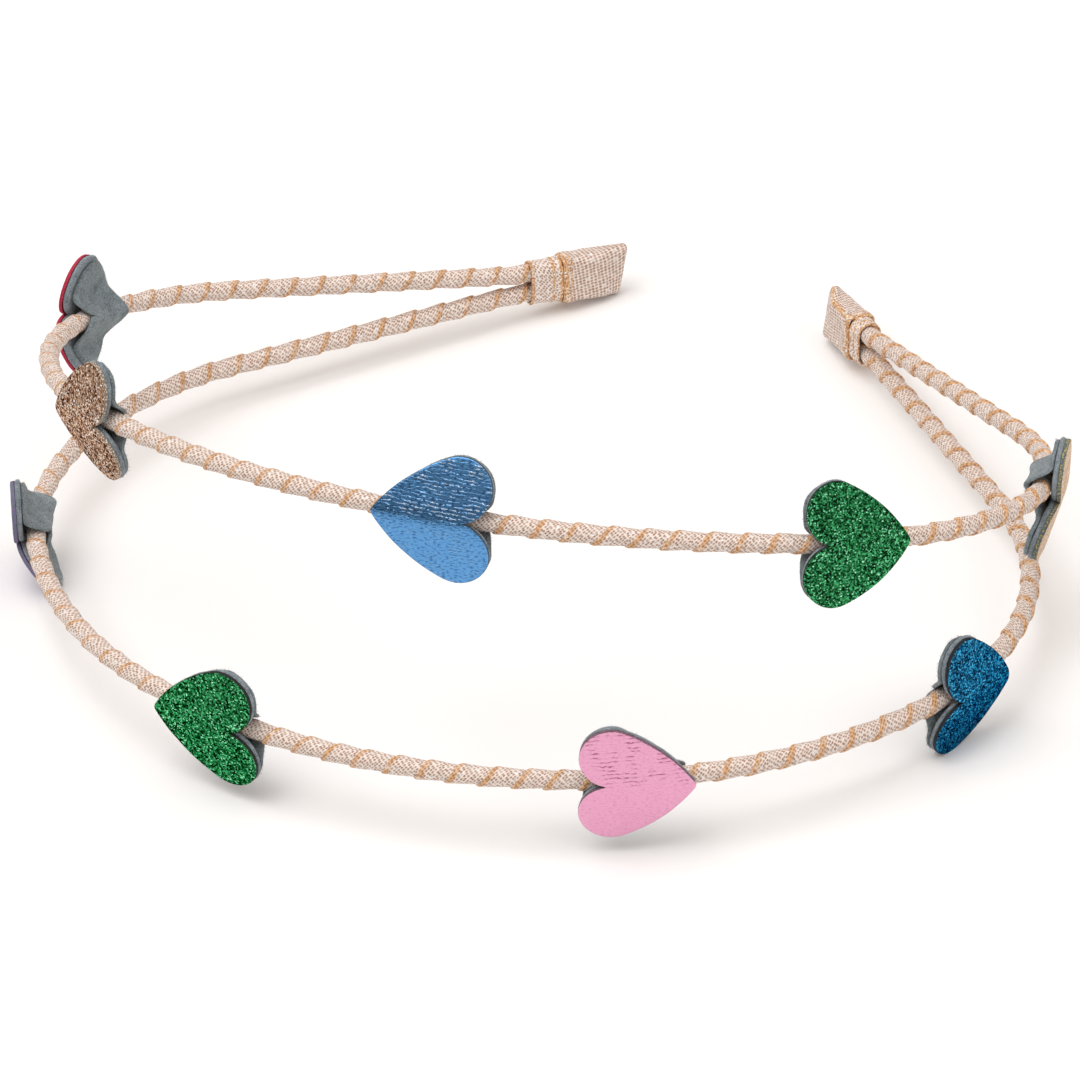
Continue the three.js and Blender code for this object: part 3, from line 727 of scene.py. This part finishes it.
def tape_winding(name, settings, materials):
    """Strand's surface as one long strip of tape wound round it, each turn climbing over the one before."""
    length = PLANS[name][1]
    start = -(length + MOUTH_PAST_FORK["left"] + STRAND_IN_CAP)
    end = length + MOUTH_PAST_FORK["right"] + STRAND_IN_CAP
    stations = round((end - start) / settings.tape_pitch) * TAPE_SIDES
    turn = np.arange(stations + 1) / TAPE_SIDES
    phase = WINDING_PHASE[name]
    waver = sum(share * np.sin(rate * turn + phases * phase) for share, rate, phases in WAVER_SINES)
    edge = np.linspace(start, end, stations + 1) + EDGE_WAVER * waver
    angle = 2 * math.pi * turn
    last = stations - TAPE_SIDES
    next_edge = np.concatenate((edge[TAPE_SIDES:], np.full(TAPE_SIDES, edge[-1])))

    edge_columns = len(EDGE_PROFILE)
    columns = edge_columns + BODY_COLUMNS
    places = np.zeros((stations + 1, columns))
    heights = np.zeros((stations + 1, columns))
    for column, (distance, height) in enumerate(EDGE_PROFILE):
        places[:, column] = edge + distance * MM
        heights[:, column] = height * MM
    body_start, body_height = np.array(EDGE_PROFILE[-1]) * MM
    for step in range(BODY_COLUMNS):
        share = (step + 1) / (BODY_COLUMNS + 1)
        places[:, edge_columns + step] = edge + body_start + share * (next_edge - edge - body_start)
        heights[:, edge_columns + step] = body_height * (1 - share) ** BODY_FALL
    radius = settings.radius - TAPE_SINK + heights + lumps_of("tape", strand_points(name, places))
    points = on_strand(name, places, radius * np.cos(angle)[:, None], radius * np.sin(angle)[:, None])
    middles = strand_points(name, np.array((start + settings.tape_pitch / 2, end - settings.tape_pitch / 2)))
    kept = np.concatenate((points[:last + 1].reshape(-1, 3), points[last + 1:, 0], middles))

    def number(station, column):
        """Number of the point at a station and column; past the last column comes the next turn's edge."""
        if column == columns:
            return number(station + TAPE_SIDES, 0)
        if station <= last:
            return station * columns + column
        return (last + 1) * columns + station - last - 1

    def flat(station, column):
        """Flat place on the tape at a station and column."""
        place = places[station, column] if column < columns else next_edge[station]
        return place, angle[station] * settings.radius

    surface = Surface()
    for station in range(last):
        for column in range(columns):
            corners = square(station, column)
            flats = [flat(*corner) for corner in corners]
            laps = [max(place - edge[row], 0) for (row, _), (place, _) in zip(corners, flats)]
            surface.add([number(*corner) for corner in corners], flats, 0, laps)
    start_loop = [(station, 0) for station in range(TAPE_SIDES + 1)]
    start_loop += [(0, column) for column in range(columns - 1, 0, -1)]
    end_loop = [(last, column) for column in range(columns)]
    end_loop += [(station, 0) for station in range(stations, last, -1)]
    for loop, middle in ((start_loop, len(kept) - 2), (end_loop, len(kept) - 1)):
        for this, following in zip(loop, loop[1:] + loop[:1]):
            surface.add((middle, number(*this), number(*following)), ((0, 0), flat(*this), flat(*following)))
    add_piece(f"{name}_tape_winding", kept, surface, materials, f"{name}_strand", "knit_tape")


def ring_surface(rings, sides, flat, mark):
    """Quads between rings of points that close on themselves."""
    surface = Surface()
    for ring in range(rings - 1):
        for side in range(sides):
            corners = square(ring, side)
            numbers = [row * sides + place % sides for row, place in corners]
            surface.add(numbers, [flat(*corner) for corner in corners], mark(ring, side))
    return surface


def from_mouth(end, local):
    """Points of a cap or binding, from the frame at the cap's mouth to the band's."""
    sign = -1 if end == "left" else 1
    places = {name: np.array(sign * (PLANS[name][1] + MOUTH_PAST_FORK[end])) for name in STRANDS}
    mouths = [strand_points(name, place) for name, place in places.items()]
    into = np.array((-sign * math.cos(CAP_HEADING), math.sin(CAP_HEADING), 0))
    axes = np.array((np.cross(UP, into), UP, into))
    return (mouths[0] + mouths[1]) / 2 + local @ axes


def oblong(height, width, corner, counts):
    """Rounded oblong as points with their ways out, going round from its top corner on the +x side."""
    centres = [np.array((side * (width / 2 - corner), top * (height / 2 - corner)))
               for side, top in ((1, 1), (-1, 1), (-1, -1), (1, -1))]
    points = []
    ways = []
    for index, centre in enumerate(centres):
        for step in range(counts["arc"] + 1):
            angle = math.pi / 2 * (index + step / counts["arc"])
            ways.append(np.array((math.cos(angle), math.sin(angle))))
            points.append(centre + corner * ways[-1])
        straight = centres[(index + 1) % 4] - centre
        foot = points[-1]
        steps = counts["long"] if index % 2 else counts["short"]
        for step in range(1, steps):
            points.append(foot + straight * step / steps)
            ways.append(ways[-1])
    return np.array(points), np.array(ways)


def walk_round(section):
    """Distance walked round a closed section, at each point and back at the first."""
    steps = np.linalg.norm(np.roll(section, -1, axis=0) - section, axis=1)
    return np.concatenate(((0,), np.cumsum(steps)))


def binding_sleeve(end, settings, materials):
    """Tape wound once round both strands before the cap, its overlocked edges standing a little proud."""
    hole = settings.radius + settings.tape_step + BINDING_GAP
    around, ways = oblong(2 * hole + STRAND_SPACING, 2 * hole, hole * BINDING_ROUND, BINDING_STEPS)
    sides = len(around)
    begin = -BINDING_LENGTH[end] - BINDING_TO_CAP
    far_edge = [(begin + along, height, mark) for along, height, mark in BINDING_FAR_EDGE]
    body_end = BINDING_RING[0][0] - BINDING_BODY_STEP / 2
    body = np.arange(far_edge[-1][0] + BINDING_BODY_STEP, body_end, BINDING_BODY_STEP)
    profile = [*far_edge, *((along, far_edge[-1][1], 0) for along in body), *BINDING_RING]
    rows = len(profile)
    rings = [np.column_stack((around + ways * height * MM, np.full(sides, along * MM)))
             for along, height, _ in profile]
    points = from_mouth(end, np.array(rings))
    lumps = lumps_of("binding", points)
    points = points + lumps[..., None] * unit(points - points.mean(axis=(0, 1)))
    walk = walk_round(around)
    depth = walk_round(np.array(profile)[:, :2] * MM)
    surface = ring_surface(rows + 1, sides, lambda row, place: (depth[row], walk[place]),
                           lambda row, side: profile[row][2])
    surface.faces = [tuple(corner % (rows * sides) for corner in face) for face in surface.faces]
    add_piece(f"{end}_binding_tape", points.reshape(-1, 3), surface, materials, f"{end}_binding",
              "binding_tape")


def cap_cloth(end, materials):
    """Cap of coarse cloth: a flat pocket with a double hem at its mouth, pressed flat at its slanted end."""
    alongs, heights, thicknesses = np.array(CAP_SECTIONS).T * MM
    body = np.arange(CAP_HEM[-1][0] + CAP_STEP, CAP_END[0][0] - CAP_STEP / 2, CAP_STEP)
    rows = [*CAP_HEM, *((along, 0, 0) for along in body), *CAP_END]
    inside, _ = oblong(CAP_POCKET["height"], CAP_POCKET["thickness"], CAP_CORNER, CAP_STEPS)
    pocket = [CAP_POCKET["depth"], CAP_POCKET["depth"] / 2, CAP_POCKET["mouth"]]
    rings = [np.column_stack((inside, np.full(len(inside), along))) for along in pocket]
    for along, swell, _ in np.array(rows) * MM:
        height = np.interp(along, alongs, heights)
        thickness = np.interp(along, alongs, thicknesses)
        section, ways = oblong(height, thickness, min(CAP_CORNER, thickness * CAP_ROUND), CAP_STEPS)
        swells = np.full(len(section), swell)
        if end == SEAM_CAP:
            swells[list(SEAM_SIDES)[1:]] += SEAM_SWELL
        section = section + ways * swells[:, None]
        share = min(max((along - CAP_PRESSED_FROM) / (CAP_LENGTH - CAP_PRESSED_FROM), 0), 1)
        turn = CAP_TWIST[end] * share
        turned = section @ np.array(((math.cos(turn), math.sin(turn)), (-math.sin(turn), math.cos(turn))))
        rings.append(np.column_stack((turned, along + CAP_END_SLANT * share * section[:, 1])))
    local = np.array(rings)
    sides = local.shape[1]
    points = from_mouth(end, local)
    middles = from_mouth(end, local.mean(axis=1))
    lumps = lumps_of("cap", points)
    lumps[:len(pocket)] = 0
    points = points + lumps[..., None] * unit(points - middles[:, None])

    tan_rows = [0] * len(pocket) + [mark for _, _, mark in rows]
    walk = walk_round(oblong(heights[0], thicknesses[0], CAP_CORNER, CAP_STEPS)[0])
    steps = np.linalg.norm(np.diff(local, axis=0), axis=2).mean(axis=1)
    depth = np.concatenate(((0,), np.cumsum(steps)))

    def mark(row, side):
        """Whether a face is tan: the seam, or a row of the hem."""
        on_seam = end == SEAM_CAP and row >= len(pocket) and side in SEAM_SIDES
        return 1 if on_seam else tan_rows[row]

    surface = ring_surface(len(local), sides, lambda row, place: (depth[row], walk[place]), mark)
    for ring, loop in ((0, range(sides - 1, -1, -1)), (len(local) - 1, range(sides))):
        surface.add([ring * sides + place for place in loop],
                    [(depth[ring] + local[ring, place, 0], local[ring, place, 1]) for place in loop])
    add_piece(f"{end}_cap_cloth", points.reshape(-1, 3), surface, materials, f"{end}_cap", "woven_cap")


def heart_outline():
    """Outline of a heart with its tip at +x, going round from the tip, and the way in at each point."""
    lobe = np.array((LOBE_RADIUS - HEART_LENGTH / 2, LOBE_OFFSET))
    tip = np.array((HEART_LENGTH / 2 - TIP_RADIUS, 0))
    gap = tip - lobe
    distance = np.linalg.norm(gap)
    to_lobe = SIDE_RADIUS - LOBE_RADIUS
    to_tip = SIDE_RADIUS - TIP_RADIUS
    along_gap = (to_lobe ** 2 - to_tip ** 2 + distance ** 2) / (2 * distance)
    from_gap = math.sqrt(to_lobe ** 2 - along_gap ** 2)
    way = gap / distance
    side = lobe + way * along_gap + np.array((way[1], -way[0])) * from_gap
    tip_angle = math.atan2(*(tip - side)[::-1])
    lobe_angle = math.atan2(*(lobe - side)[::-1])
    notch_angle = math.pi + math.asin(LOBE_OFFSET / LOBE_RADIUS)
    arcs = ((tip, TIP_RADIUS, 0, tip_angle, "tip"), (side, SIDE_RADIUS, tip_angle, lobe_angle, "side"),
            (lobe, LOBE_RADIUS, lobe_angle, notch_angle, "lobe"))
    half = []
    for centre, radius, first, final, part in arcs:
        for angle in np.linspace(first, final, OUTLINE_STEPS[part], endpoint=False):
            half.append(centre + radius * np.array((math.cos(angle), math.sin(angle))))
    notch = np.array((lobe[0] + LOBE_RADIUS * math.cos(notch_angle), 0))
    mirrored = [point * (1, -1) for point in half[:0:-1]]
    outline = np.array(half + [notch] + mirrored)
    ahead = np.roll(outline, -1, axis=0) - np.roll(outline, 1, axis=0)
    return outline, unit(np.column_stack((-ahead[:, 1], ahead[:, 0])))


def bent(heart, layer, flat, share, lift):
    """Points of a heart's layer bent along its strand, from flat places, shares of thickness and lifts."""
    turn = math.radians(heart["yaw"]) + (math.pi if heart["tip"] < 0 else 0)
    lobe_inset = heart["inset"] * MM if layer["trimmed"] else 0
    tip_inset = BACK_TIP_INSET if layer["trimmed"] else 0
    scale = 1 - (lobe_inset + tip_inset) / HEART_LENGTH
    forward = heart["long"] * (scale * flat[:, 0] + (lobe_inset - tip_inset) / 2)
    sideways = scale * flat[:, 1]
    along = forward * math.cos(turn) - sideways * math.sin(turn)
    across = forward * math.sin(turn) + sideways * math.cos(turn) + heart["shift"] * MM
    low, high = layer["heights"](heart, across)
    height = low + share * (high - low) + lift
    roll = math.radians(heart["roll"])
    out = height * math.cos(roll) - across * math.sin(roll)
    up = height * math.sin(roll) + across * math.cos(roll)
    return on_strand(heart["strand"], heart["at"] * MM + along, out, up)


def add_fibres(surface, first, outline, inward, seed):
    """Loose fibres round a felt's rim as thin spikes that lean every way: flat places, shares and lifts."""
    chance = np.random.default_rng(seed)
    place = chance.integers(0, len(outline), FIBRES)
    angle = chance.uniform(-FIBRE_ANGLE, FIBRE_ANGLE, FIBRES)
    length = chance.uniform(*FIBRE_LENGTH, FIBRES)
    lean = chance.uniform(-FIBRE_LEAN, FIBRE_LEAN, FIBRES)
    inset = FELT_ROUNDING * MM * (1 - np.cos(angle)) + FIBRE_WIDTH
    root = outline[place] + inward[place] * inset[:, None]
    tangent = np.column_stack((inward[place, 1], -inward[place, 0]))
    reach = -inward[place] * np.cos(angle)[:, None] + tangent * lean[:, None]
    points = np.stack((root - tangent * FIBRE_WIDTH / 2, root + tangent * FIBRE_WIDTH / 2, root,
                       root + reach * length[:, None]), axis=1)
    lifts = np.zeros((FIBRES, 4))
    lifts[:, 2] = FIBRE_WIDTH
    lifts[:, 3] = length * np.sin(angle)
    shares = np.repeat(0.5 + 0.5 * np.sin(angle), 4)
    for fibre in range(FIBRES):
        corner = first + 4 * fibre
        flat = tuple(root[fibre])
        for triangle in ((0, 1, 2), (0, 3, 1), (1, 3, 2), (2, 3, 0)):
            surface.add([corner + turn for turn in triangle], (flat,) * 3)
    return points.reshape(-1, 2), shares, lifts.ravel()


def heart_layer(name, heart, layer):
    """Closed layer of a heart: rings of its outline from the middle, over the rim and back to the middle."""
    outline, inward = heart_outline()
    sides = len(outline)
    seed = sum(ord(letter) for letter in name)
    level = np.column_stack((outline, np.zeros(sides)))
    drift = layer["waver"] * unevenness(level, RIM_DRIFT_SIZE, seed % DRIFT_SEEDS)
    rim = layer["rim"]
    reaches = [ring / layer["rings"] for ring in range(1, layer["rings"])]
    rows = [(reach, rim[0][0], 1.0, 0) for reach in reaches]
    rows += [(1.0, inset, share, mark) for inset, share, mark in rim]
    rows += [(reach, rim[-1][0], 0.0, 0) for reach in reversed(reaches)]
    rings = [HEART_MIDDLE + (outline + inward * (inset * MM + drift[:, None]) - HEART_MIDDLE) * reach
             for reach, inset, _, _ in rows]
    flats = np.concatenate((*rings, [HEART_MIDDLE, HEART_MIDDLE]))
    shares = np.concatenate((np.repeat([row[2] for row in rows], sides), (1.0, 0.0)))
    spread = np.column_stack((flats, shares * MM))
    lifts = layer["lump"] * unevenness(spread, FELT_LUMP_SIZE, seed % LUMP_SEEDS)

    def flat(row, place):
        """Flat place on the cloth, with a cut edge unrolled outwards."""
        _, _, share, mark = rows[row]
        below = (1 - share) * RIM_UNROLLED if mark else 0
        return tuple(flats[row * sides + place % sides] - inward[place % sides] * below)

    surface = ring_surface(len(rows), sides, flat, lambda row, side: rows[row + 1][3])
    last = len(rows) - 1
    top = len(rows) * sides
    for place in range(sides):
        after = (place + 1) % sides
        surface.add((top, after, place), (tuple(HEART_MIDDLE), flat(0, after), flat(0, place)))
        surface.add((top + 1, last * sides + place, last * sides + after),
                    (tuple(HEART_MIDDLE), flat(last, place), flat(last, after)))
    points = bent(heart, layer, flats, shares, lifts)
    if layer["fibres"]:
        fibres = add_fibres(surface, len(points), outline + inward * drift[:, None], inward, seed)
        points = np.concatenate((points, bent(heart, layer, *fibres)))
    return points, surface


def heart_rows():
    """Each heart's name and its values by column."""
    for name, values in HEARTS.items():
        yield name, dict(zip(HEART_COLUMNS, values))


def heart_layers(context):
    """Layers of a heart: the heights between which each lies, its size, rim, rings and roughness."""
    strands = context.scene.headband_strands
    hearts = context.scene.headband_hearts
    wound = strands.radius + strands.tape_step + STRAND_GAP

    def crease(heart, across):
        """Height of the front felt's back over the strand's middle, falling away on both sides."""
        fall = np.hypot(across, CREASE_SOFTNESS) - CREASE_SOFTNESS
        return wound - math.tan(math.radians(heart["slope"])) * fall

    def sheet(heart, across):
        """Face on its felt."""
        low = crease(heart, across) + hearts.front_felt
        return low + FACE_GAP, low + LAYER_GAP + hearts.face_thickness

    def front(heart, across):
        """Felt under the face."""
        low = crease(heart, across)
        return low - FELT_HANG, low + hearts.front_felt

    def back(heart, across):
        """Felt behind, against the front felt at its edges and folded round the strand in the middle."""
        reach = np.minimum(np.abs(across) / FOLD_HALF_WIDTH, 1)
        high = crease(heart, across) - LAYER_GAP - wound * (1 + np.cos(np.pi * reach))
        return high - hearts.back_felt, high

    felt = {"rings": 12, "fibres": True}
    return {
        "sheet": {"heights": sheet, "trimmed": False, "rim": SHEET_RIM, "rings": 16, "fibres": False,
                  "waver": 0.03 * MM, "lump": 0.04 * MM},
        "felt_front": {**felt, "heights": front, "trimmed": False, "rim": FELT_RIM,
                       "waver": 0.14 * MM, "lump": 0.06 * MM},
        "felt_back": {**felt, "heights": back, "trimmed": True, "rim": BACK_RIM,
                      "waver": 0.2 * MM, "lump": 0.1 * MM},
    }


class HEADBAND_OT_strands(bpy.types.Operator):
    """Wind both strands with knit tape"""
    bl_idname = "headband.strands"
    bl_label = "Strands"

    def execute(self, context):
        settings = context.scene.headband_strands
        tape = knit_tape_material(settings, "metallic knit tape")
        for name in STRANDS:
            tape_winding(name, settings, (tape,))
        return {"FINISHED"}


class HEADBAND_OT_ends(bpy.types.Operator):
    """Make the bindings and the cloth caps at both ends"""
    bl_idname = "headband.ends"
    bl_label = "Bindings and caps"

    def execute(self, context):
        settings = context.scene.headband_strands
        edge = overlocked_edge_material(settings)
        tape = knit_tape_material(settings, "metallic knit binding")
        woven = knit_tape_material(settings, "coarse woven cap cloth")
        for end in MOUTH_PAST_FORK:
            binding_sleeve(end, settings, (tape, edge))
            cap_cloth(end, (woven, edge))
        return {"FINISHED"}


class HEADBAND_OT_faces(bpy.types.Operator):
    """Make the glitter and foil faces of the hearts"""
    bl_idname = "headband.faces"
    bl_label = "Heart faces"

    def execute(self, context):
        layer = heart_layers(context)["sheet"]
        made = {finish: face_materials(finish) for finish in CUT_EDGE}
        for name, heart in heart_rows():
            points, surface = heart_layer(name, heart, layer)
            finish = heart["finish"]
            add_piece(f"{name}_heart_sheet", points, surface, made[finish], f"{name}_heart_face", finish,
                      CUT_EDGE_ANGLE)
        return {"FINISHED"}


class HEADBAND_OT_felts(bpy.types.Operator):
    """Make the front and back felts of the hearts"""
    bl_idname = "headband.felts"
    bl_label = "Heart felts"

    def execute(self, context):
        layers = heart_layers(context)
        colours = context.scene.headband_hearts
        felts = {
            "front": felt_material("blue-grey pressed felt", colours.front_colour, FELT_SHADE["front"]),
            "back": felt_material("green-grey pressed felt", colours.back_colour, FELT_SHADE["back"]),
        }
        for name, heart in heart_rows():
            for side, felt in felts.items():
                points, surface = heart_layer(f"{name} {side}", heart, layers[f"felt_{side}"])
                add_piece(f"{name}_heart_felt_{side}", points, surface, (felt,), f"{name}_heart_{side}_felt",
                          f"{side}_felt")
        return {"FINISHED"}


def add_floor(scene, settings):
    """Plain matt floor under the band."""
    half = settings.floor_size / 2
    mesh = bpy.data.meshes.new("floor")
    corners = [(-half, -half, 0), (half, -half, 0), (half, half, 0), (-half, half, 0)]
    mesh.from_pydata(corners, [], [(0, 1, 2, 3)])
    floor = bpy.data.objects.new("floor", mesh)
    scene.collection.objects.link(floor)
    paper, tree, _ = new_material("pale matt paper floor")
    finish_material(tree, {"Base Color": settings.floor_colour, "Roughness": 0.9})
    mesh.materials.append(paper)


def add_light(scene, settings):
    """Soft studio: a sky that brightens overhead, and two large lamps."""
    world = bpy.data.worlds.new("soft studio")
    scene.world = world
    world.use_nodes = True
    tree = world.node_tree
    tree.nodes.clear()
    way = add_node(tree, "ShaderNodeTexCoord").outputs["Generated"]
    height = add_node(tree, "ShaderNodeSeparateXYZ", None, {"Vector": way})
    stops = [(place, (*(value * tint for tint in SKY_TINT), 1)) for place, value in SKY]
    sky = add_node(tree, "ShaderNodeValToRGB", {"stops": stops}, {"Fac": height.outputs["Z"]})
    glow = add_node(tree, "ShaderNodeBackground", None, {"Color": sky.outputs["Color"], "Strength": 1.0})
    add_node(tree, "ShaderNodeOutputWorld", None, {"Surface": glow.outputs["Background"]})
    powers = {"key": settings.key_power, "fill": settings.fill_power}
    for name, (place, size) in LAMPS.items():
        data = bpy.data.lights.new(name, "AREA")
        data.size = size
        data.energy = powers[name]
        lamp = bpy.data.objects.new(name, data)
        lamp.location = place
        lamp.rotation_euler = (-Vector(place)).to_track_quat("-Z", "Y").to_euler()
        scene.collection.objects.link(lamp)


def add_camera(scene, settings):
    """Camera at its turn and height round the band, aimed a little beside the band's middle."""
    turn = settings.azimuth
    rise = settings.elevation
    back = Vector((math.sin(turn) * math.cos(rise), -math.cos(turn) * math.cos(rise), math.sin(rise)))
    right = Vector((math.cos(turn), math.sin(turn), 0))
    above = back.cross(right)
    eye = LAID @ (back * settings.distance)
    aim = LAID @ (right * AIM_RIGHT + above * AIM_UP)
    away = (eye - aim).normalized()
    level = LAID.to_3x3() @ right
    level = (level - away * level.dot(away)).normalized()
    data = bpy.data.cameras.new("camera")
    data.lens = settings.lens
    data.sensor_width = SENSOR_WIDTH
    data.clip_start = CLIP_START
    data.clip_end = CLIP_END
    camera = bpy.data.objects.new("camera", data)
    axes = Matrix((level, away.cross(level), away)).transposed()
    camera.matrix_world = Matrix.Translation(eye) @ axes.to_4x4()
    scene.collection.objects.link(camera)
    scene.camera = camera


class HEADBAND_OT_stage(bpy.types.Operator):
    """Make the floor, the soft lights and the camera"""
    bl_idname = "headband.stage"
    bl_label = "Floor, light and camera"

    def execute(self, context):
        settings = context.scene.headband_stage
        add_floor(context.scene, settings)
        add_light(context.scene, settings)
        add_camera(context.scene, settings)
        context.scene.view_settings.view_transform = "Standard"
        return {"FINISHED"}


OPERATORS = (HEADBAND_OT_strands, HEADBAND_OT_ends, HEADBAND_OT_faces, HEADBAND_OT_felts, HEADBAND_OT_stage)


class HEADBAND_PT_make(bpy.types.Panel):
    """Steps that make the headband"""
    bl_idname = "HEADBAND_PT_make"
    bl_label = "Headband"
    bl_space_type = "VIEW_3D"
    bl_region_type = "UI"
    bl_category = "Headband"

    def draw(self, context):
        for step in OPERATORS:
            self.layout.operator(step.bl_idname)


GROUPS = {
    "headband_strands": HEADBAND_PG_strands,
    "headband_hearts": HEADBAND_PG_hearts,
    "headband_stage": HEADBAND_PG_stage,
}


def register():
    """Register the settings, the operators and the panel."""
    for name, group in GROUPS.items():
        bpy.utils.register_class(group)
        setattr(bpy.types.Scene, name, bpy.props.PointerProperty(type=group))
    for step in (*OPERATORS, HEADBAND_PT_make):
        bpy.utils.register_class(step)


def unregister():
    """Take back what register added."""
    for step in (HEADBAND_PT_make, *reversed(OPERATORS)):
        bpy.utils.unregister_class(step)
    for name, group in GROUPS.items():
        delattr(bpy.types.Scene, name)
        bpy.utils.unregister_class(group)


def main():
    """Make every piece in order."""
    register()
    bpy.ops.headband.strands()
    bpy.ops.headband.ends()
    bpy.ops.headband.faces()
    bpy.ops.headband.felts()
    bpy.ops.headband.stage()


if __name__ == "__main__":
    main()
